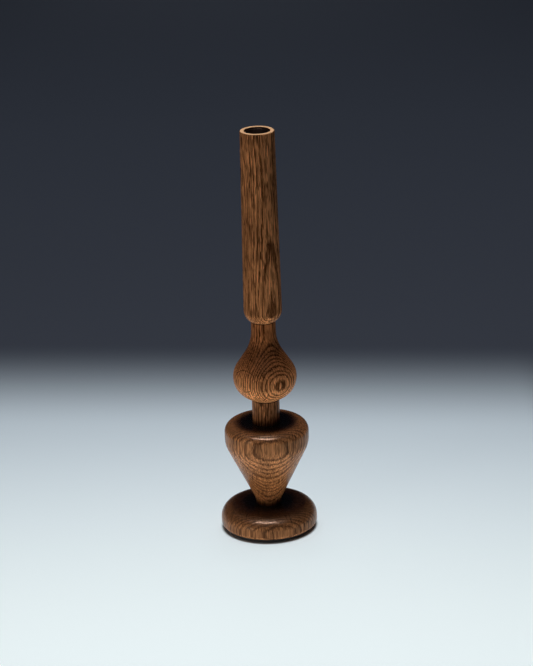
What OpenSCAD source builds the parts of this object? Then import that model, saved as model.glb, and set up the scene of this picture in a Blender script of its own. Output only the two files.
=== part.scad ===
// Turned oak candlestick: a stack of turned pieces, plugged into each other and glued.
// +Z is up. The origin is the centre of the felt pad's underside, where the piece stands.

/* [Felt pad] */
// Distance from the edge of the base's flat underside in to the pad's edge
pad_inset = 0; // [0:0.5:5]
// Thickness of the felt pad
pad_t = 3; // [1:0.5:4]

/* [Base] */
// Diameter of the base disc
base_d = 91; // [88:1:100]
// Thickness of the base disc
base_t = 21.5; // [21:0.5:28]
// Rounding of the base's lower edge
base_low_round = 4; // [2:0.5:6]
// Rounding of the base's upper edge
base_top_round = 14; // [8:0.5:14.5]

/* [Cone] */
// Height of the cone above the base
cone_h = 82; // [80:1:92]
// Diameter of the cone at its shoulder
cone_d = 79.5; // [74:0.5:84]
// Diameter of the cone's foot
foot_d = 24.2; // [22:0.2:26]
// Height of the foot's corner above the base
foot_corner_h = 4.1; // [4:0.1:6]
// Rounding between the foot and the slope
foot_round = 16; // [8:1:16]
// Distance from the cone's top down to the corner where the slope ends
shoulder_h = 21.2; // [20.4:0.2:24]
// Rounding between the slope and the shoulder
shoulder_round = 25.5; // [18:0.5:26]
// Rounding of the cone's upper edge
cone_top_round = 9.5; // [6:0.5:10]

/* [Neck] */
// Diameter of the neck between the cone and the bulb
neck_d = 26; // [24.5:0.5:28]
// Length of the neck that shows
neck_h = 22.5; // [16:0.5:30]

/* [Bulb] */
// Height of the bulb that shows, up to the stem
bulb_h = 76.5; // [74:0.5:82]
// Distance from the axis to the sharp corner that the belly is rounded from
belly_corner_r = 39; // [38:0.5:41]
// Height of that corner above the bulb's underside
belly_corner_h = 15.5; // [14:0.5:16]
// Rounding of the belly
belly_round = 22; // [19:0.5:22]
// Diameter of the bulb's flat underside, before its edge is rounded
bulb_under_d = 23.4; // [20:0.2:24]
// Diameter of the bulb's throat, where it enters the stem
throat_d = 23; // [21:0.5:24]
// Height of the corner between the belly's slope and the throat
throat_corner_h = 57.5; // [56:0.5:60]
// Rounding of the hollow between belly and throat
throat_round = 38; // [30:1:38]

/* [Stem] */
// Length of the stem
stem_h = 184.5; // [150:0.5:240]
// Diameter of the stem at its lower end
stem_low_d = 36; // [34:0.5:40]
// Diameter of the stem at its rim
stem_top_d = 31.8; // [31:0.1:34]
// Rounding of the stem's lower end
stem_low_round = 13; // [8:0.5:13]
// Rounding of the rim's inner and outer edges
rim_round = 1; // [0.4:0.1:1.5]

/* [Candle socket] */
// Inner diameter of the metal candle cup
cup_bore_d = 22.3; // [21.5:0.1:23]
// Wall thickness of the candle cup
cup_wall = 0.4; // [0.3:0.1:0.5]
// Depth of the candle cup, inside
cup_depth = 30; // [20:1:40]
// Distance from the rim down to the cup's lip
cup_recess = 1.6; // [1.6:0.1:4]

/* [Joinery] */
// Depth that the cone's foot goes into the base
foot_tenon = 10.5; // [8:0.5:11]
// Depth that the neck goes into the cone, and into the bulb
neck_tenon = 22; // [16:1:26]
// Depth that the bulb's throat goes into the stem
throat_tenon = 20; // [14:1:26]
// Radial room for glue round each plugged end
glue_gap = 0.1; // [0.05:0.05:0.2]

/* [Base screw] */
// Outside diameter of the screw's thread
screw_d = 5; // [4:0.5:6]
// Length of the screw under its head
screw_l = 40; // [30:1:50]
// Diameter of the screw's head
screw_head_d = 9.5; // [8:0.5:11]
// Diameter of the washer
washer_d = 13; // [12:0.5:15]
// Thickness of the washer
washer_t = 1; // [0.8:0.1:1.5]

/* [Hidden] */
$fn = 96;
arc_step = 5;       // degrees of arc between two points of an outline
plug_round = 1;     // rounding of the plugged ends, which don't show
under_round = 3;    // rounding round the bulb's flat underside
cup_round = 2;      // rounding of the cup's closed end
cup_gap = 0.05;     // radial room between the cup and the stem
screw_gap = 0.1;    // radial room round the screw and the washer
over = 1;           // how far a drilled hole's tool starts outside the wood

head_t = 3;         // height of the screw's head
head_round = 1.8;
head_clear = 1;     // distance from the felt to the screw's head
thread_pitch = 2;
thread_depth = 0.9;
thread_flat = 0.2;  // width of a thread ridge's crest
plain_l = 8;        // length of plain shank under the head
tip_l = 6;          // length of the screw's point
recess_w = 1;       // width, length and depth of each slot in the head's cross recess
recess_l = 5;
recess_t = 1.6;

base_z = pad_t;
cone_z = base_z + base_t;
neck_z = cone_z + cone_h;
bulb_z = neck_z + neck_h;
stem_z = bulb_z + bulb_h;
rim_z = stem_z + stem_h;

pad_d = base_d - 2 * base_low_round - 2 * pad_inset;

cup_r = cup_bore_d / 2;
cup_outer_r = cup_r + cup_wall;
socket_r = cup_outer_r + cup_gap;
lip_z = rim_z - cup_recess;
cup_z = lip_z - cup_depth - cup_wall;

washer_z = base_z + head_clear + head_t;
screw_tip_z = washer_z + screw_l;

oak = "#6f4527";
oak_dark = "#5f3a20";
felt = "#1d1b1b";
steel = "#a9abad";
dark_steel = "#3b3938";

function unit(v) = v / norm(v);

// The same angle, between -180 and 180 degrees
function short_way(a) = a > 180 ? a - 360 : a < -180 ? a + 360 : a;

// The corner at p between its neighbours a and b, rounded to radius r
function round_corner(a, p, b, r) =
    r == 0 ? [p] :
    let (
        u = unit(a - p),
        v = unit(b - p),
        half = acos(u * v) / 2,
        mid = p + unit(u + v) * r / sin(half),
        from = p + u * r / tan(half) - mid,
        to = p + v * r / tan(half) - mid,
        start = atan2(from.y, from.x),
        turn = short_way(atan2(to.y, to.x) - start),
        n = max(3, ceil(abs(turn) / arc_step))
    )
    [for (i = [0:n]) mid + r * [cos(start + turn * i / n), sin(start + turn * i / n)]];

function point(corner) = [corner.x, corner.y];

// A closed outline from corners, each [distance from the axis, height, rounding]
function outline(corners) =
    let (n = len(corners))
    [for (i = [0:n - 1])
        each round_corner(point(corners[(i + n - 1) % n]), point(corners[i]),
                          point(corners[(i + 1) % n]), corners[i].z)];

// Turns an outline round the Z axis, as a lathe does
module turned(corners) {
    rotate_extrude() polygon(outline(corners));
}

// A round disc or hole, from one height to another
module disc(d, low, high) {
    translate([0, 0, low]) cylinder(d = d, h = high - low);
}

module felt_pad() {
    color(felt) disc(pad_d, 0, pad_t);
}

module base_disc() {
    counterbore_top = washer_z + washer_t;
    color(oak) difference() {
        turned([
            [0, base_z, 0],
            [base_d / 2, base_z, base_low_round],
            [base_d / 2, cone_z, base_top_round],
            [0, cone_z, 0]
        ]);
        disc(foot_d + 2 * glue_gap, cone_z - foot_tenon, cone_z + over);
        disc(screw_d + 2 * screw_gap, base_z, cone_z);
        disc(washer_d + 2 * screw_gap, base_z - over, counterbore_top);
    }
}

module screw_washer() {
    color(steel) difference() {
        disc(washer_d, washer_z, washer_z + washer_t);
        disc(screw_d + 2 * screw_gap, washer_z - over, washer_z + washer_t + over);
    }
}

// The screw's shank, with its thread as a row of ridges
module screw_shank() {
    root_r = screw_d / 2 - thread_depth;
    crest_r = screw_d / 2;
    thread_z = washer_z + plain_l;
    thread_end = screw_tip_z - tip_l;
    ridges = floor((thread_end - thread_z) / thread_pitch);
    flank = (thread_pitch - thread_flat) / 2;
    rotate_extrude() polygon([
        [0, washer_z],
        [crest_r, washer_z],
        [crest_r, thread_z - thread_depth],
        for (i = [0:ridges - 1], z = thread_z + i * thread_pitch)
            each [[root_r, z], [crest_r, z + flank], [crest_r, z + flank + thread_flat]],
        [root_r, thread_z + ridges * thread_pitch],
        [root_r, thread_end],
        [0, screw_tip_z]
    ]);
}

module base_screw() {
    head_z = washer_z - head_t;
    color(steel) difference() {
        union() {
            screw_shank();
            turned([
                [0, head_z, 0],
                [screw_head_d / 2, head_z, head_round],
                [screw_head_d / 2, washer_z, 0],
                [0, washer_z, 0]
            ]);
        }
        for (turn = [0, 90])
            rotate(turn)
                translate([-recess_l / 2, -recess_w / 2, head_z - over])
                    cube([recess_l, recess_w, recess_t + over]);
    }
}

module lower_cone() {
    tenon_z = cone_z - foot_tenon;
    color(oak) difference() {
        turned([
            [0, tenon_z, 0],
            [foot_d / 2, tenon_z, plug_round],
            [foot_d / 2, cone_z + foot_corner_h, foot_round],
            [cone_d / 2, neck_z - shoulder_h, shoulder_round],
            [cone_d / 2, neck_z, cone_top_round],
            [0, neck_z, 0]
        ]);
        disc(screw_d + 2 * screw_gap, tenon_z - over, screw_tip_z + over);
        disc(neck_d + 2 * glue_gap, neck_z - neck_tenon, neck_z + over);
    }
}

module neck_dowel() {
    color(oak_dark) turned([
        [0, neck_z - neck_tenon, 0],
        [neck_d / 2, neck_z - neck_tenon, plug_round],
        [neck_d / 2, bulb_z + neck_tenon, plug_round],
        [0, bulb_z + neck_tenon, 0]
    ]);
}

module bulb() {
    color(oak) difference() {
        turned([
            [0, bulb_z, 0],
            [bulb_under_d / 2, bulb_z, under_round],
            [belly_corner_r, bulb_z + belly_corner_h, belly_round],
            [throat_d / 2, bulb_z + throat_corner_h, throat_round],
            [throat_d / 2, stem_z + throat_tenon, plug_round],
            [0, stem_z + throat_tenon, 0]
        ]);
        disc(neck_d + 2 * glue_gap, bulb_z - over, bulb_z + neck_tenon);
    }
}

module stem() {
    color(oak) difference() {
        turned([
            [0, stem_z, 0],
            [stem_low_d / 2, stem_z, stem_low_round],
            [stem_top_d / 2, rim_z, rim_round],
            [socket_r, rim_z, rim_round],
            [socket_r, cup_z, 0],
            [0, cup_z, 0]
        ]);
        disc(throat_d + 2 * glue_gap, stem_z - over, stem_z + throat_tenon);
    }
}

module candle_cup() {
    lip_round = cup_wall / 3;
    color(dark_steel) turned([
        [0, cup_z, 0],
        [cup_outer_r, cup_z, cup_round],
        [cup_outer_r, lip_z, lip_round],
        [cup_r, lip_z, lip_round],
        [cup_r, cup_z + cup_wall, cup_round - cup_wall],
        [0, cup_z + cup_wall, 0]
    ]);
}

felt_pad();
base_disc();
screw_washer();
base_screw();
lower_cone();
neck_dowel();
bulb();
stem();
candle_cup();
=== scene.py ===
"""The turned oak candlestick's visual model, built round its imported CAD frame.

The wooden pieces and the felt pad are turned from outlines, as on a lathe. The oak is a solid
texture: growth rings round a pith that runs beside the piece, pores, dashes along the grain and
rays. Lengths are in millimetres on the pieces and in their materials, and in metres on the stage.
"""
from math import atan2, ceil, cos, hypot, pi, radians, sin, tan

import bmesh
import bpy
from mathutils import Matrix, Vector


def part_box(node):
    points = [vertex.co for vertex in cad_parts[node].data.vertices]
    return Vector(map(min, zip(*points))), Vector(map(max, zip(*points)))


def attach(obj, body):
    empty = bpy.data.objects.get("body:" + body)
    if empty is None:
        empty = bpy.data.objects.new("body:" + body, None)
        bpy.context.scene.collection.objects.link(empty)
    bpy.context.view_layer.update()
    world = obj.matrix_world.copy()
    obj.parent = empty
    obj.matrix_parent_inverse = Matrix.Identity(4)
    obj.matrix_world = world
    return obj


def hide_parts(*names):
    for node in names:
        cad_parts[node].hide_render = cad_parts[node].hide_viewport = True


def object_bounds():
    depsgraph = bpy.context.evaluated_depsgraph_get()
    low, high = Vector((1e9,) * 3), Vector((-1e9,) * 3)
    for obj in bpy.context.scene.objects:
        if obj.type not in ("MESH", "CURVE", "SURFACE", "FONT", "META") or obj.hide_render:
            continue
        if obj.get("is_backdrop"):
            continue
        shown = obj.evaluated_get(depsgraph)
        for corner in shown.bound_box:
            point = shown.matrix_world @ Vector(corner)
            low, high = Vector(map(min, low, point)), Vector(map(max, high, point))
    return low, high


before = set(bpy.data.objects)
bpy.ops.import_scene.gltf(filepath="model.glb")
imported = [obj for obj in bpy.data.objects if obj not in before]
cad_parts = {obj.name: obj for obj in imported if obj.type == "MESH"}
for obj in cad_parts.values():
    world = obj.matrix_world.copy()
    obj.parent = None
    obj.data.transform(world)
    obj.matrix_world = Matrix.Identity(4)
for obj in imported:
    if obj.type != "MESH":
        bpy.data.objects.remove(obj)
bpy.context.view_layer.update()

MM = 0.001
SEGMENTS = 160          # facets round a turned piece
SHARP = radians(35)     # bend from which an edge is shaded as a sharp one
ARC_STEP = radians(3)   # how far the outline turns in one facet of a rounding
LONGEST_STEP = 4.0      # longest straight stretch of an outline between two of its points


def low(node):
    """The height of a CAD node's lowest point."""
    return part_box(node)[0].z / MM


def high(node):
    """The height of a CAD node's highest point."""
    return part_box(node)[1].z / MM


def radius(node):
    """The radius of a round CAD node at its widest."""
    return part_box(node)[1].x / MM


# ---------------------------------------------------------------- outlines

def round_corner(before, corner, after, rounding):
    """Points of the arc that replaces a corner between its two neighbours."""
    if rounding == 0:
        return [corner]
    to_a, to_b = Vector(before) - Vector(corner), Vector(after) - Vector(corner)
    to_a.normalize()
    to_b.normalize()
    half = to_a.angle(to_b) / 2
    middle = Vector(corner) + (to_a + to_b).normalized() * rounding / sin(half)
    first = Vector(corner) + to_a * rounding / tan(half) - middle
    sweep = (pi - to_a.angle(to_b)) * (1 if to_a.x * to_b.y < to_a.y * to_b.x else -1)
    steps = max(3, ceil(abs(sweep) / ARC_STEP))
    points = []
    for i in range(steps + 1):
        points.append(tuple(middle + Matrix.Rotation(sweep * i / steps, 2) @ first))
    return points


def outline(corners):
    """A closed outline from corners (distance from the axis, height, rounding), anticlockwise."""
    points = []
    for i, (r, z, rounding) in enumerate(corners):
        before, after = corners[i - 1], corners[(i + 1) % len(corners)]
        points += round_corner(before[:2], (r, z), after[:2], rounding)
    return points


def drilled(points, r, floor):
    """An outline that starts on the axis, drilled from below: a socket of radius r up to floor."""
    i = next(i for i, point in enumerate(points) if point[0] > r)
    (r0, z0), (r1, z1) = points[i - 1], points[i]
    mouth = (r, z0 + (z1 - z0) * (r - r0) / (r1 - r0))
    eased = round_corner((r, floor), mouth, points[i], EASE)
    return [(0, floor), (r, floor)] + eased + points[i:]


def turn(name, points):
    """A piece turned from an outline: a hoop of vertices at each point, or one vertex on the axis.

    Its "edge" attribute is 1 on a sharp outward edge and 0 where the outline is flat or hollow.
    """
    points = spread(points)
    mesh = bmesh.new()
    edge = mesh.verts.layers.float.new("edge")
    hoops = []
    for (r, z), worn in zip(points, sharpness(points)):
        count = SEGMENTS if r > 0 else 1
        hoop = []
        for i in range(count):
            angle = 2 * pi * i / count
            vertex = mesh.verts.new((r * cos(angle) * MM, r * sin(angle) * MM, z * MM))
            vertex[edge] = worn
            hoop.append(vertex)
        hoops.append(hoop)
    for lower, upper in zip(hoops, hoops[1:] + hoops[:1]):
        join_hoops(mesh, lower, upper)
    bmesh.ops.recalc_face_normals(mesh, faces=mesh.faces)
    piece = bpy.data.objects.new(name, bpy.data.meshes.new(name))
    mesh.to_mesh(piece.data)
    mesh.free()
    piece.data.shade_smooth()
    piece.data.set_sharp_from_angle(angle=SHARP)
    bpy.context.scene.collection.objects.link(piece)
    return piece


def join_hoops(mesh, lower, upper):
    """Faces between two hoops of vertices, either of which may be a single vertex."""
    for i in range(SEGMENTS):
        a, b = lower[i % len(lower)], lower[(i + 1) % len(lower)]
        c, d = upper[(i + 1) % len(upper)], upper[i % len(upper)]
        corners = list(dict.fromkeys((a, b, c, d)))
        if len(corners) > 2:
            mesh.faces.new(corners)


def spread(points):
    """The outline with points added so that no stretch off the axis is over LONGEST_STEP."""
    result = []
    for (r0, z0), (r1, z1) in zip(points, points[1:] + points[:1]):
        steps = 1 if r0 == r1 == 0 else ceil(hypot(r1 - r0, z1 - z0) / LONGEST_STEP)
        for i in range(steps):
            result.append((r0 + (r1 - r0) * i / steps, z0 + (z1 - z0) * i / steps))
    return result


def sharpness(points):
    """How worn each point of an outline is: its outward bend for each millimetre, from 0 to 1."""
    values = []
    for (r0, z0), (r, z), (r1, z1) in zip(points[-1:] + points, points, points[1:] + points[:1]):
        before, after = Vector((r - r0, z - z0)), Vector((r1 - r, z1 - z))
        bend = atan2(before.x * after.y - before.y * after.x, before.dot(after))
        reach = max(1.0, (before.length + after.length) / 2)
        values.append(min(1.0, max(0.0, bend / reach)) if r > 0 else 0.0)
    return values


# ---------------------------------------------------------------- material graphs

class Graph:
    """A material with short ways to add nodes. A value is a number, a colour or a node's output."""

    def __init__(self, name):
        self.material = bpy.data.materials.new(name)
        self.material.use_nodes = True
        self.tree = self.material.node_tree
        self.shader = self.tree.nodes["Principled BSDF"]

    def put(self, socket, value):
        """Links an output to an input, or sets the input's own value."""
        if isinstance(value, bpy.types.NodeSocket):
            self.tree.links.new(value, socket)
        else:
            socket.default_value = value

    def surface(self, **values):
        """Inputs of the shader, by name with _ for a space."""
        for name, value in values.items():
            self.put(self.shader.inputs[name.replace("_", " ")], value)

    def node(self, kind, values, output=0, **settings):
        """A new node's output. values maps names or places of its inputs to what they hold."""
        node = self.tree.nodes.new("ShaderNode" + kind)
        for name, value in settings.items():
            setattr(node, name, value)
        for key, value in values.items():
            self.put(node.inputs[key], value)
        return node.outputs[output]

    def math(self, operation, *values):
        """A sum, product or other result of numbers."""
        return self.node("Math", dict(enumerate(values)), operation=operation)

    def hypotenuse(self, a, b):
        """How far the point (a, b) is from (0, 0)."""
        squares = self.math("ADD", self.math("POWER", a, 2.0), self.math("POWER", b, 2.0))
        return self.math("POWER", squares, 0.5)

    def vector(self, operation, a, b):
        """A sum, product or other result of two vectors, part by part."""
        return self.node("VectorMath", {0: a, 1: b}, operation=operation)

    def axes(self, vector):
        """The x, y and z parts of a vector."""
        return self.node("SeparateXYZ", {0: vector}).node.outputs

    def place(self):
        """The point on the piece, in millimetres in the model's frame."""
        point = self.node("TexCoord", {}, "Object")
        return self.vector("MULTIPLY", point, (1 / MM,) * 3)

    def noise(self, point, size, detail, output="Fac"):
        """Noise from 0 to 1 whose grains are size = (x, y, z) millimetres."""
        scaled = self.vector("DIVIDE", point, size)
        values = {"Vector": scaled, "Scale": 1.0, "Detail": detail}
        return self.node("TexNoise", values, output)

    def ramp(self, value, start, end, low=0.0, high=1.0):
        """Goes smoothly from low to high as value goes from start to end."""
        values = {0: value, 1: start, 2: end, 3: low, 4: high}
        return self.node("MapRange", values, interpolation_type="SMOOTHSTEP")

    def mix(self, share, a, b):
        """Colour a, going to colour b as share goes from 0 to 1."""
        values = {0: share, 6: a, 7: b}
        return self.node("Mix", values, 2, data_type="RGBA")

    def scale(self, colour, amount):
        """A colour made amount times as bright."""
        return self.node("VectorMath", {0: colour, "Scale": amount}, operation="SCALE")

    def bump(self, height, depth):
        """A normal from a height of 0 to 1, depth millimetres deep."""
        values = {"Height": height, "Strength": 1.0, "Distance": depth * MM}
        return self.node("Bump", values)


# ---------------------------------------------------------------- oak

# Linear colours of the stained oak, of worn and bare oak, and of the shine on the wax. The bare oak's
# colour is pale unstained wood with painted light from above added
LATE_WOOD = (0.65, 0.264, 0.101, 1)
EARLY_WOOD = (0.118, 0.035, 0.0095, 1)
DASH = (0.064, 0.0185, 0.005, 1)
PORE = (0.022, 0.007, 0.0025, 1)
RAY = (0.045, 0.015, 0.005, 1)
WORN = (0.52, 0.235, 0.105, 1)
BARE_AND_TOP_LIT_OAK = (0.95, 0.56, 0.30, 1)
WAX_TINT = (1.0, 0.78, 0.58, 1)

# Tints of painted shade that a piece's shade multiplies the wood by
DEEP_SHADE_TINT = (0.54, 0.47, 0.42)
BROWN_SHADE_TINT = (0.72, 0.67, 0.60)

# Tones: what the stained wood's colour is multiplied by
YEAR_TONES = (0.84, 1.16)       # in the darkest and the lightest year
CLOUD_TONES = (0.78, 1.22)
FIBRE_TONES = (0.60, 1.42)
# at joints: stain and grime, with painted shade in the crease
JOINT_GRIME_AND_SHADE_TONE = 0.15
# on undersides: painted bounce light, as if lit from the floor below
UNDERSIDE_BOUNCE_TONE = 1.38
END_GRAIN_AND_TOP_SHADE_TONE = 0.50           # on a top: end grain drinks more stain, and the rest is painted shade on faces turned up
CROWN_SHADE_TONE = 0.02              # painted shade round the axis on a flat top, under the piece above it
BARE_EARLY_TONE = 0.88          # of the bare wood, in early wood

# Ranges that most of a noise's values lie in
SPREAD = (0.3, 0.7)
WIDE_SPREAD = (0.25, 0.75)
FULL_SPREAD = (0.2, 0.8)

# Sizes of the noises' grains: two across the piece and one along it
TRUNK_GRAIN = (70, 70, 190)
CLOUD_GRAIN = (26, 26, 60)
FIBRE_GRAIN = (0.8, 0.8, 24)
WEAR_GRAIN = (3, 3, 3)
COMB_GRAIN = (0.9, 0.9, 13)
WAVER_GRAIN = (7, 7, 22)
PATCH_GRAIN = (4, 4, 20)
PORE_GRAIN = (0.24, 0.24, 4)
STRAND_GRAIN = (1.3, 1.3, 26)
BREAK_GRAIN = (1.6, 1.6, 11)
RAY_GRAIN = (1.2, 16, 15)       # round the pith, out from it and along the piece

# How far a ring's edge moves, as a share of a year's growth
DRIFT = 2.2
COMB = 0.75
WAVER = 0.4

# Shares of a year over which its early wood sets in, and over which late wood follows it
EARLY_STARTS = (0.0, 0.06)
EARLY_ENDS = (0.22, 0.56)

# Values of a noise over which what it draws goes from nothing to full
WEAR_CUT = (0.42, 0.62)
PATCH_CUT = (0.35, 0.6)
PORE_CUT = (0.54, 0.62)
BREAK_CUT = (0.40, 0.52)
RAY_CUT = (0.62, 0.69)
LINE_WIDTH = (0.020, 0.120)     # from full to nothing, on both sides of the noise's middle

# How strong the pores and the dashes are, in late wood and in early wood
PORE_SHARES = (0.16, 0.75)
DASH_SHARES = (0.85, 1.0)
PATCH_SHARES = (0.70, 1.0)      # how dark the early wood is, from patch to patch

# The wax's roughness from its glossiest cloud to its dullest, and what pores and early wood add
WAX_ROUGHNESS = (0.16, 0.23)
PORE_ROUGHNESS = 0.35
EARLY_ROUGHNESS = 0.05

# How deep the grain is sunk, as shares of GRAIN_DEPTH
PORE_SUNK = 0.6
EARLY_SUNK = 0.18
FIBRE_SUNK = 0.12
GRAIN_DEPTH = 0.12              # millimetres, of the bump

# Upward parts of the normal over which one kind of surface turns into another
UNDERSIDE = (-0.6, 0.0)
TOP = (0.1, 0.7)
FLAT_TOP = (0.7, 0.95)
RIM_TOP = (0.35, 0.75)

APART = Vector((37, 91, 53))    # step through the noises from one seed to the next
WANDER = 5.0                    # how far the trunk bends
GRIME_AND_SHADE_LINE = 0.4                # distance from a joint at which its grime and painted shade start to thin
THIN = 1.2                      # how far from a joint a thin line of grime and painted shade is gone
GRIME_AND_SHADE_REACH = 7.0                    # the same where stain has pooled and painted shade falls over a piece's lower end
HOLE_SHADE = (11.7, 12.1)             # distances from the axis between which the painted shade on the candle hole's wall ends
RIM_EDGE = 0.3                  # depth over which the bare rim goes over into the stained side
RAY_SHARE = 0.70                # how strong the rays are
RAY_PLACE = 1.6                 # RAY_GRAIN is true at so many times the axis's distance from the pith
MOST_WORN = 0.75                # how far the stain is gone where an edge is worn most
PORES_ON_RIM = 0.35             # how strong the pores are in the bare wood


def oak(name, front, pith, ring, seed, tone, bold=0.75, dashed=0.65, wax=0.06, joints=(),
        crown=None, shade=None, bare_from=None):
    """Stained oak, cut from a trunk whose growth rings run round a pith beside the piece.

    front is the side that faces away from the pith, in degrees right of the camera's side. pith is
    how far behind the axis the pith is, or in front of it where it is negative, and ring the width
    of a year's growth. tone is how light the stain is, bold how dark the early wood, dashed how dark
    the lines of vessels and wax how much the piece shines. joints are heights where stain and grime
    have gathered and painted shade darkens the crease, each with how far they reach. crown is the
    two distances from the axis between which the painted shade on a flat top, under the piece above
    it, thins out. shade is two heights between which painted shade deepens, and its tint. Wood
    above the height bare_from that faces up is unstained and carries painted light from above.
    """
    g = Graph(name)
    point = g.place()
    x, y, z = g.axes(point)
    moved = g.vector("ADD", point, APART * seed)
    east, north = from_pith(g, moved, x, y, radians(front), pith)
    distance = g.hypotenuse(east, north)
    year, early = rings(g, moved, distance, ring)
    pores, dashes = vessels(g, moved, early)
    rays = ray_lines(g, g.math("ARCTAN2", east, north), distance, z, pith)
    good_year = g.noise(g.node("CombineXYZ", {0: year, 1: seed, 2: 0.0}), (1, 1, 1), 0.0)
    cloud = g.noise(moved, CLOUD_GRAIN, 3.0)
    fibre = g.noise(moved, FIBRE_GRAIN, 3.0)

    colour = g.mix(g.math("MULTIPLY", early, bold), LATE_WOOD, EARLY_WOOD)
    darkest, lightest = YEAR_TONES
    colour = g.scale(colour, g.ramp(good_year, *WIDE_SPREAD, darkest * tone, lightest * tone))
    colour = g.scale(colour, g.ramp(cloud, *WIDE_SPREAD, *CLOUD_TONES))
    colour = g.scale(colour, g.ramp(fibre, *SPREAD, *FIBRE_TONES))
    colour = g.mix(rubbed(g, moved), colour, WORN)
    colour = g.mix(g.math("MULTIPLY", dashes, dashed), colour, DASH)
    colour = g.mix(g.math("MULTIPLY", rays, RAY_SHARE), colour, RAY)
    colour = g.mix(pores, colour, PORE)

    up = g.axes(g.node("TexCoord", {}, "Normal"))[2]
    from_axis = g.hypotenuse(x, y)
    colour = stained_and_shaded(g, colour, z, up, from_axis, joints, crown, shade)
    if bare_from is not None:
        colour = with_bare_rim(g, colour, z, up, from_axis, pores, early, bare_from)
    finish_wood(g, colour, cloud, fibre, pores, early, wax)
    return g.material


def from_pith(g, point, x, y, front, pith):
    """How far right of the pith and behind it a point is, along a trunk that bends a little."""
    bend = g.noise(point, TRUNK_GRAIN, 1.0, "Color")
    bend_x, bend_y, _ = g.axes(g.vector("SUBTRACT", bend, (0.5, 0.5, 0.5)))
    side = sin(front) * pith
    behind = cos(front) * pith
    east = g.math("ADD", g.math("ADD", x, side), g.math("MULTIPLY", bend_x, 2 * WANDER))
    north = g.math("SUBTRACT", g.math("ADD", y, g.math("MULTIPLY", bend_y, 2 * WANDER)), behind)
    return east, north


def rubbed(g, point):
    """How far handling has worn the stain off, from 0 to 1: patches along the sharp edges."""
    edge = g.node("Attribute", {}, "Fac", attribute_name="edge")
    worn = g.ramp(g.noise(point, WEAR_GRAIN, 4.0), *WEAR_CUT, 0.0, MOST_WORN)
    return g.math("MULTIPLY", edge, worn)


def stained_and_shaded(g, colour, z, up, from_axis, joints, crown, shade):
    """The colour with stain, grime and painted shade at joints, painted bounce light on undersides,
    stain and painted shade on tops, and painted shade on a crown and by height.
    """
    # Joints: stain and grime in the joint, with painted shade in its crease
    for joint, clean in joints:
        gap = g.math("ABSOLUTE", g.math("SUBTRACT", z, joint))
        colour = g.scale(colour, g.ramp(gap, GRIME_AND_SHADE_LINE, clean, JOINT_GRIME_AND_SHADE_TONE, 1.0))
    # Painted bounce light: faces turned down are made lighter
    colour = g.scale(colour, g.ramp(up, *UNDERSIDE, UNDERSIDE_BOUNCE_TONE, 1.0))
    # End grain takes more stain, and faces turned up also carry painted shade
    colour = g.scale(colour, g.ramp(up, *TOP, 1.0, END_GRAIN_AND_TOP_SHADE_TONE))
    # Painted shade round the axis on a flat top, where the piece above shades it
    if crown is not None:
        crown_shade = g.math("MULTIPLY", g.ramp(from_axis, *crown, 1.0, 0.0), g.ramp(up, *FLAT_TOP))
        colour = g.scale(colour, g.ramp(crown_shade, 0.0, 1.0, 1.0, CROWN_SHADE_TONE))
    # Painted shade that deepens between two heights; stain is its tint
    if shade is not None:
        start, end, stain = shade
        colour = g.mix(g.ramp(z, start, end), colour, g.vector("MULTIPLY", colour, stain))
    return colour


def with_bare_rim(g, colour, z, up, from_axis, pores, early, bare_from):
    """The colour with painted shade on the candle hole's wall, and the rim's top left unstained and
    given painted light from above.
    """
    # Painted shade on the candle hole's wall
    colour = g.mix(g.ramp(from_axis, *HOLE_SHADE, 1.0, 0.0), colour, PORE)
    # The rim's top: pale unstained oak, with painted light from above in its colour
    bare = g.math("MULTIPLY", g.ramp(z, bare_from - RIM_EDGE, bare_from), g.ramp(up, *RIM_TOP))
    plain = g.scale(BARE_AND_TOP_LIT_OAK[:3], g.ramp(early, 0.0, 1.0, 1.0, BARE_EARLY_TONE))
    plain = g.mix(g.math("MULTIPLY", pores, PORES_ON_RIM), plain, EARLY_WOOD)
    return g.mix(bare, colour, plain)


def finish_wood(g, colour, cloud, fibre, pores, early, wax):
    """Waxed wood: glossier in clouds, and duller and a little sunk in the pores and early wood."""
    rough = g.ramp(cloud, *FULL_SPREAD, *WAX_ROUGHNESS)
    rough = g.math("ADD", rough, g.math("MULTIPLY", pores, PORE_ROUGHNESS))
    rough = g.math("ADD", rough, g.math("MULTIPLY", early, EARLY_ROUGHNESS))
    sunk = g.math("MULTIPLY", pores, PORE_SUNK)
    sunk = g.math("ADD", sunk, g.math("MULTIPLY", early, EARLY_SUNK))
    sunk = g.math("ADD", sunk, g.math("MULTIPLY", fibre, FIBRE_SUNK))
    g.surface(Base_Color=colour, Roughness=rough, Specular_IOR_Level=wax,
              Specular_Tint=WAX_TINT, Normal=g.bump(g.math("SUBTRACT", 1.0, sunk), GRAIN_DEPTH))


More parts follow.
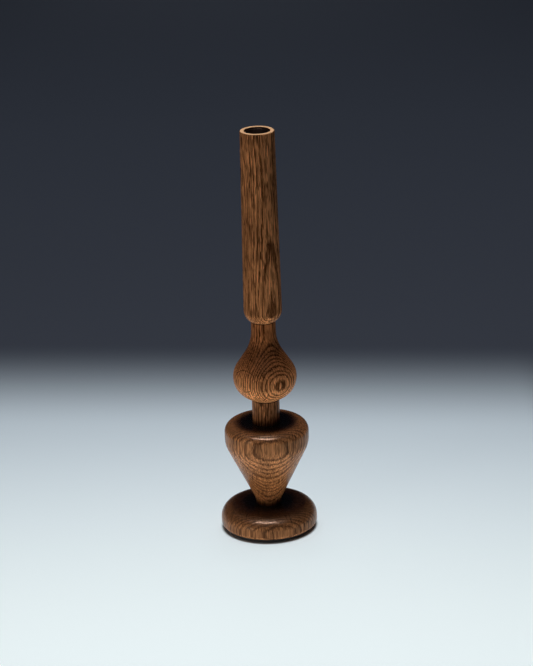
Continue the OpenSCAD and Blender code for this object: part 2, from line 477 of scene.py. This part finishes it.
def rings(g, point, distance, ring):
    """The year a point grew in, and how far its wood is early wood, from 0 to 1.

    The edge between two years is jagged like a comb, because the vessels of the early wood stand
    up from it one by one, and the years differ in width and in how dark their early wood is.
    """
    comb = g.math("SUBTRACT", g.noise(point, COMB_GRAIN, 2.0), 0.5)
    waver = g.math("SUBTRACT", g.noise(point, WAVER_GRAIN, 2.0), 0.5)
    drift = g.noise(g.node("CombineXYZ", {0: distance, 1: 0.0, 2: 0.0}), (9, 1, 1), 1.0)
    grown = g.math("ADD", g.math("DIVIDE", distance, ring), g.math("MULTIPLY", drift, DRIFT))
    grown = g.math("ADD", grown, g.math("MULTIPLY", comb, COMB))
    grown = g.math("ADD", grown, g.math("MULTIPLY", waver, WAVER))
    year = g.math("FLOOR", grown)
    phase = g.math("FRACT", grown)
    early = g.math("MULTIPLY", g.ramp(phase, *EARLY_STARTS), g.ramp(phase, *EARLY_ENDS, 1.0, 0.0))
    patchy = g.ramp(g.noise(point, PATCH_GRAIN, 2.0), *PATCH_CUT, *PATCH_SHARES)
    return year, g.math("MULTIPLY", early, patchy)


def vessels(g, point, early):
    """Open pores, which crowd in the early wood, and the dark lines that they make along the grain.

    The lines follow where a stretched noise crosses its middle, and are broken into dashes.
    """
    fine = g.noise(point, PORE_GRAIN, 1.0)
    pores = g.math("MULTIPLY", g.ramp(fine, *PORE_CUT), g.ramp(early, 0.0, 1.0, *PORE_SHARES))
    strands = g.math("SUBTRACT", g.noise(point, STRAND_GRAIN, 1.0), 0.5)
    lines = g.ramp(g.math("ABSOLUTE", strands), *LINE_WIDTH, 1.0, 0.0)
    elsewhere = g.vector("ADD", point, (11.0, 7.0, 5.0))
    broken = g.ramp(g.noise(elsewhere, BREAK_GRAIN, 1.0), *BREAK_CUT)
    dashes = g.math("MULTIPLY", g.math("MULTIPLY", lines, broken),
                    g.ramp(early, 0.0, 1.0, *DASH_SHARES))
    return pores, dashes


def ray_lines(g, angle, distance, z, pith):
    """Medullary rays: thin upright sheets that run out from the pith."""
    around = g.math("MULTIPLY", angle, pith * RAY_PLACE)
    where = g.node("CombineXYZ", {0: around, 1: distance, 2: z})
    return g.ramp(g.noise(where, RAY_GRAIN, 1.0), *RAY_CUT)


# ---------------------------------------------------------------- felt and steel

FELT_DARK = (0.010, 0.009, 0.009, 1)
FELT_PALE = (0.034, 0.031, 0.030, 1)
LINT = (0.16, 0.15, 0.14, 1)
ZINC_BRIGHT = (0.62, 0.63, 0.64, 1)
ZINC_DULL = (0.40, 0.41, 0.42, 1)
CUP_BRIGHT = (0.036, 0.026, 0.022, 1)
CUP_DULL = (0.014, 0.010, 0.008, 1)

FELT_ROUGHNESS = (0.85, 1.0)
FELT_DEPTH = 0.35
TWIST = 3.0                     # how far the felt's fibres are pulled about
TANGLE_GRAIN = (0.5, 0.5, 0.5)
LINT_GRAIN = (0.9, 0.3, 0.6)
LINT_CUT = (0.66, 0.72)
LATHE_GRAIN = (40, 40, 0.12)
SCRATCH_GRAIN = (0.2, 6.0, 0.5)
SCRATCH_CUT = (0.62, 0.68)
STEEL_EDGE = (0.52, 0.60)       # pointiness over which an edge goes from plain to rubbed bright
STEEL_DEPTH = 0.02


def felt():
    """Near-black wool felt: matted fibres, with lint and a soft sheen."""
    g = Graph("felt_charcoal")
    point = g.place()
    twist = g.scale(g.noise(point, (2, 2, 2), 2.0, "Color"), TWIST)
    tangle = g.noise(g.vector("ADD", point, twist), TANGLE_GRAIN, 5.0)
    cloud = g.noise(point, (9, 9, 9), 3.0)
    lint = g.ramp(g.noise(point, LINT_GRAIN, 3.0), *LINT_CUT)
    colour = g.mix(g.ramp(tangle, *SPREAD), FELT_DARK, FELT_PALE)
    colour = g.scale(colour, g.ramp(cloud, *SPREAD, 0.8, 1.2))
    colour = g.mix(g.math("MULTIPLY", lint, 0.5), colour, LINT)
    g.surface(Base_Color=colour, Roughness=g.ramp(tangle, *FULL_SPREAD, *FELT_ROUGHNESS),
              Specular_IOR_Level=0.2, Sheen_Weight=0.35, Sheen_Roughness=0.6,
              Normal=g.bump(tangle, FELT_DEPTH))
    return g.material


def steel(name, bright, dull, roughness):
    """Turned or pressed steel: fine rings from the tool, blotches, scratches and rubbed edges."""
    g = Graph(name)
    point = g.place()
    cloud = g.noise(point, (4, 4, 4), 4.0)
    lathe = g.noise(point, LATHE_GRAIN, 1.0)
    scratch = g.ramp(g.noise(point, SCRATCH_GRAIN, 2.0), *SCRATCH_CUT)
    edge = g.ramp(g.node("NewGeometry", {}, "Pointiness"), *STEEL_EDGE)
    colour = g.mix(g.ramp(cloud, *SPREAD), bright, dull)
    colour = g.scale(colour, g.ramp(lathe, *SPREAD, 0.88, 1.08))
    colour = g.mix(g.math("MULTIPLY", edge, 0.5), colour, bright)
    rough = g.math("ADD", g.ramp(cloud, *SPREAD, roughness - 0.06, roughness + 0.08),
                   g.math("MULTIPLY", scratch, 0.12))
    height = g.math("SUBTRACT", g.math("MULTIPLY", lathe, 0.5), g.math("MULTIPLY", scratch, 0.4))
    g.surface(Base_Color=colour, Metallic=1.0, Roughness=rough, Normal=g.bump(height, STEEL_DEPTH))
    return g.material


# ---------------------------------------------------------------- pieces

# The corners and roundings of the turned outlines, where the frame doesn't give them
FELT_ROUND = 0.5
BASE_LOW_ROUND = 4
BASE_TOP_ROUND = 14
FOOT_RADIUS = 12.1
FOOT_CORNER = 4.1       # height of the foot's corner above the base
FOOT_ROUND = 16
SHOULDER = 21.2         # from the cone's top down to the corner where the slope ends
SHOULDER_ROUND = 25.5
CONE_TOP_ROUND = 9.5
NECK_SHOWS = 22.5       # from the cone's top up to the bulb's underside
UNDER_RADIUS = 11.7     # radius of the bulb's flat underside
UNDER_ROUND = 3
BELLY_CORNER = 39       # distance from the axis to the corner that the belly is rounded from
BELLY_CORNER_RISE = 15.5
BELLY_ROUND = 22
THROAT_RADIUS = 11.5
THROAT_CORNER_RISE = 57.5
THROAT_ROUND = 38
BULB_SHOWS = 76.5       # from the bulb's underside up to the stem's end
STEM_LOW_RADIUS = 18
STEM_LOW_ROUND = 13
RIM_RADIUS = 15.9
RIM_ROUND = 1
PLUG_ROUND = 1
GLUE_GAP = 0.1
SCREW_RADIUS = 2.5
SCREW_GAP = 0.1
SCREW_HOLE_SPARE = 1    # how far the screw's hole goes past its point
CUP_GAP = 0.05
EASE = 0.4              # easing of the mouth of each socket


def felt_outline():
    """The pad, a flat disc with its lower edge rounded."""
    r, bottom, top = radius("felt_pad"), low("felt_pad"), high("felt_pad")
    return outline([(0, bottom, 0), (r, bottom, FELT_ROUND), (r, top, 0), (0, top, 0)])


def base_outline():
    """The disc, with the cone's socket above and the screw's hole and counterbore below."""
    r, bottom, top = radius("base_disc"), low("base_disc"), high("base_disc")
    counterbore = radius("screw_washer") + SCREW_GAP
    hole = SCREW_RADIUS + SCREW_GAP
    socket = FOOT_RADIUS + GLUE_GAP
    return outline([
        (counterbore, bottom, 0), (r, bottom, BASE_LOW_ROUND), (r, top, BASE_TOP_ROUND),
        (socket, top, EASE), (socket, low("lower_cone"), 0), (hole, low("lower_cone"), 0),
        (hole, high("screw_washer"), 0), (counterbore, high("screw_washer"), 0)])


def cone_outline():
    """The cone, with the neck's socket above and the screw's hole below."""
    r, bottom, top = radius("lower_cone"), low("lower_cone"), high("lower_cone")
    hole = SCREW_RADIUS + SCREW_GAP
    hole_end = high("base_screw") + SCREW_HOLE_SPARE
    socket = radius("neck_dowel") + GLUE_GAP
    return outline([
        (0, hole_end, 0), (hole, hole_end, 0), (hole, bottom, 0), (FOOT_RADIUS, bottom, PLUG_ROUND),
        (FOOT_RADIUS, high("base_disc") + FOOT_CORNER, FOOT_ROUND),
        (r, top - SHOULDER, SHOULDER_ROUND), (r, top, CONE_TOP_ROUND),
        (socket, top, EASE), (socket, low("neck_dowel"), 0), (0, low("neck_dowel"), 0)])


def neck_outline():
    """The dowel, whose ends are plugs in the cone and the bulb."""
    r, bottom, top = radius("neck_dowel"), low("neck_dowel"), high("neck_dowel")
    return outline([(0, bottom, 0), (r, bottom, PLUG_ROUND), (r, top, PLUG_ROUND), (0, top, 0)])


def bulb_underside():
    """The height where the neck goes into the bulb."""
    return high("lower_cone") + NECK_SHOWS


def stem_end():
    """The height of the stem's lower end, where the throat goes into it."""
    return bulb_underside() + BULB_SHOWS


def bulb_outline():
    """The belly and its throat, with the neck's socket in its underside."""
    bottom, top = bulb_underside(), high("bulb")
    solid = outline([
        (0, bottom, 0), (UNDER_RADIUS, bottom, UNDER_ROUND),
        (BELLY_CORNER, bottom + BELLY_CORNER_RISE, BELLY_ROUND),
        (THROAT_RADIUS, bottom + THROAT_CORNER_RISE, THROAT_ROUND),
        (THROAT_RADIUS, top, PLUG_ROUND), (0, top, 0)])
    return drilled(solid, radius("neck_dowel") + GLUE_GAP, high("neck_dowel"))


def stem_outline():
    """The tall stem, with the throat's socket below and the candle cup's seat in its rim."""
    bottom, top = stem_end(), high("stem")
    seat = radius("candle_cup") + CUP_GAP
    solid = outline([
        (0, bottom, 0), (STEM_LOW_RADIUS, bottom, STEM_LOW_ROUND), (RIM_RADIUS, top, RIM_ROUND),
        (seat, top, RIM_ROUND), (seat, low("candle_cup"), 0), (0, low("candle_cup"), 0)])
    return drilled(solid, THROAT_RADIUS + GLUE_GAP, high("bulb"))


def add_piece(name, node, points, material):
    """Turns a piece that stands for a CAD node."""
    piece = turn(name, points)
    piece.data.materials.append(material)
    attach(piece, "root")
    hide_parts(node)


def dress(node, material):
    """Gives a CAD node a better material."""
    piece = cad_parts[node]
    piece.data.materials.clear()
    piece.data.materials.append(material)


# ---------------------------------------------------------------- stage

CAMERA_PLACE = (0.0, -2.2187, 1.0047)
CAMERA_PITCH = radians(-20.056)
CAMERA_YAW = radians(-0.072)
CAMERA_ROLL = radians(-1.816)
CAMERA_LENS = 137.28        # millimetres, for a 36 mm picture height
FLOOR_RADIUS = 40.0
AIM = (0.0, 0.0, 0.2)       # where the lights point
FLOOR_COLOUR = (0.72, 0.80, 0.815, 1)
FLOOR_BACK_COLOUR = (0.685, 0.80, 0.90, 1)
# the far floor's colour and dim glow: painted dark where the pool of light has faded
FAR_FLOOR_PAINTED_DARK = (0.0230, 0.0285, 0.0400, 1)
POOL_SLANT = 0.10           # how far the pool's back edge comes forward for each metre to the right
POOL_RIGHT = (0.27, 0.36)   # how far to the right the lit part of the floor starts and ends fading
POOL_LEFT = (0.42, 0.62)    # the same to the left
POOL_FRONT = (0.33, 0.50)   # the same toward the camera
POOL_BACK = (0.24, 0.50)    # the same away from it
POOL_DIMS = (-0.45, 0.70)   # between these places, front to back, the pool's glow dims
POOL_DIM = 0.068            # to this share
FAR_DIMS = (0.9, 2.6)       # between these the far floor dims
FAR_DIM = 0.45
FLOOR_SHARE = 0.6           # how much of its colour the floor reflects; it glows as well
GLOW = 0.86
ROOM_COLOUR = (0.0100, 0.0125, 0.0205, 1)
CONTACT_SHADOW = (0.0435, 0.047)   # distances from the axis between which the floor's glow fades in, leaving a painted contact shadow under the piece


def add_camera():
    """The camera at the photographed angle."""
    camera = bpy.data.objects.new("camera", bpy.data.cameras.new("camera"))
    camera.data.lens = CAMERA_LENS
    turned = (Matrix.Rotation(CAMERA_YAW, 4, "Z") @ Matrix.Rotation(pi / 2 + CAMERA_PITCH, 4, "X")
              @ Matrix.Rotation(CAMERA_ROLL, 4, "Z"))
    camera.matrix_world = Matrix.Translation(CAMERA_PLACE) @ turned
    bpy.context.scene.collection.objects.link(camera)
    bpy.context.scene.camera = camera


def add_floor():
    """A pale table whose middle glows softly from below as a painted pool of light, with a painted
    contact shadow under the piece, and fades off to a painted dark floor.
    """
    mesh = bmesh.new()
    bmesh.ops.create_circle(mesh, cap_ends=True, segments=96, radius=FLOOR_RADIUS)
    floor = bpy.data.objects.new("floor", bpy.data.meshes.new("floor"))
    mesh.to_mesh(floor.data)
    mesh.free()
    g = Graph("floor_pale")
    point = g.node("TexCoord", {}, "Object")
    x, y, _ = g.axes(point)
    y = g.math("ADD", y, g.math("MULTIPLY", x, POOL_SLANT))
    from_piece = g.node("VectorMath", {0: point}, "Value", operation="LENGTH")
    pool = g.math("MULTIPLY", g.ramp(x, *POOL_RIGHT, 1.0, 0.0),
                  g.ramp(x, -POOL_LEFT[1], -POOL_LEFT[0]))
    pool = g.math("MULTIPLY", pool, g.ramp(y, -POOL_FRONT[1], -POOL_FRONT[0]))
    pool = g.math("MULTIPLY", pool, g.ramp(y, *POOL_BACK, 1.0, 0.0))
    near = g.mix(g.ramp(y, -POOL_BACK[0], POOL_BACK[1]), FLOOR_COLOUR, FLOOR_BACK_COLOUR)
    # far is the painted dark floor beyond the lit pool
    far = g.scale(FAR_FLOOR_PAINTED_DARK[:3], g.ramp(y, *FAR_DIMS, 1.0, FAR_DIM))
    # the glow dims toward the back and is cut out under the piece as a painted contact shadow
    lit = g.math("MULTIPLY", g.ramp(y, *POOL_DIMS, 1.0, POOL_DIM), g.ramp(from_piece, *CONTACT_SHADOW))
    g.surface(Base_Color=g.scale(g.mix(pool, far, near), FLOOR_SHARE), Roughness=0.9,
              Specular_IOR_Level=0.1,
              Emission_Color=g.mix(pool, far, g.scale(near, lit)), Emission_Strength=GLOW)
    floor.data.materials.append(g.material)
    bpy.context.scene.collection.objects.link(floor)
    floor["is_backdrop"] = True


def add_light(name, azimuth, elevation, distance, size, watts, beam=180, colour=(1.0, 1.0, 1.0)):
    """A soft panel, size = (width, height), at an azimuth and an elevation from the object's middle.

    Azimuth 0 is the camera's side and 90 the right. beam is how wide its light spreads, in degrees.
    """
    a, e = radians(azimuth), radians(elevation)
    lamp = bpy.data.lights.new(name, "AREA")
    lamp.shape = "RECTANGLE"
    lamp.size, lamp.size_y = size
    lamp.energy = watts
    lamp.color = colour
    lamp.spread = radians(beam)
    light = bpy.data.objects.new(name, lamp)
    light.location = Vector((sin(a) * cos(e), -cos(a) * cos(e), sin(e))) * distance
    light.location.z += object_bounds()[1].z / 2
    light.rotation_euler = (light.location - Vector(AIM)).to_track_quat("Z", "Y").to_euler()
    bpy.context.scene.collection.objects.link(light)
    return light


def add_world():
    """A dim, plain room beyond the floor."""
    world = bpy.data.worlds.new("room")
    world.use_nodes = True
    world.node_tree.nodes["Background"].inputs["Color"].default_value = ROOM_COLOUR
    bpy.context.scene.world = world


bpy.context.scene.view_settings.view_transform = "Standard"
add_camera()
add_floor()
add_world()
add_light("key", 180, 87, distance=2.2, size=(0.58, 0.58), watts=2.4, beam=50)
add_light("fill_left", -50, 2, distance=2.6, size=(0.6, 1.0), watts=12.5, colour=(1.0, 0.97, 0.92))
fill_back = add_light("fill_back", 180, 8, distance=2.6, size=(1.0, 1.0), watts=8)
fill_back.visible_glossy = False    # it lights the back's wood and leaves no glint on the wax
strip = add_light("strip", -12, 62, distance=1.8, size=(1.35, 0.15), watts=120,
                  colour=(1.0, 0.82, 0.80))
strip.visible_diffuse = False       # it makes the glints on the wax and doesn't light the wood

add_piece("turned_felt_pad", "felt_pad", felt_outline(), felt())
base_oak = oak("oak_base", front=7, pith=45, ring=1.9, seed=1, tone=0.76, wax=0.16, crown=(12, 44))
add_piece("turned_base", "base_disc", base_outline(), base_oak)
cone_oak = oak("oak_cone", front=7.5, pith=49.75, ring=2.4, seed=2, tone=0.93, wax=0.16,
               joints=[(high("base_disc"), GRIME_AND_SHADE_REACH)], crown=(17, 38), shade=(85, 45, BROWN_SHADE_TINT))
add_piece("turned_cone", "lower_cone", cone_outline(), cone_oak)
neck_oak = oak("oak_neck", front=80, pith=60, ring=2.2, seed=3, tone=0.84, dashed=0.9,
               joints=[(high("lower_cone"), GRIME_AND_SHADE_REACH), (low("bulb"), THIN)])
add_piece("turned_neck", "neck_dowel", neck_outline(), neck_oak)
bulb_oak = oak("oak_bulb", front=29, pith=-90.3, ring=2.0, seed=4, tone=1.44, bold=0.95,
               dashed=0.55, wax=0.02, joints=[(low("stem"), THIN)], shade=(144, 178, DEEP_SHADE_TINT))
add_piece("turned_bulb", "bulb", bulb_outline(), bulb_oak)
stem_oak = oak("oak_stem", front=27, pith=40, ring=1.4, seed=5, tone=1.10, bold=0.85, dashed=0.8,
               wax=0.015, bare_from=high("stem"))
add_piece("turned_stem", "stem", stem_outline(), stem_oak)
dress("screw_washer", steel("zinc", ZINC_BRIGHT, ZINC_DULL, 0.34))
dress("base_screw", steel("zinc_screw", ZINC_BRIGHT, ZINC_DULL, 0.30))
dress("candle_cup", steel("dark_cup", CUP_BRIGHT, CUP_DULL, 0.45))
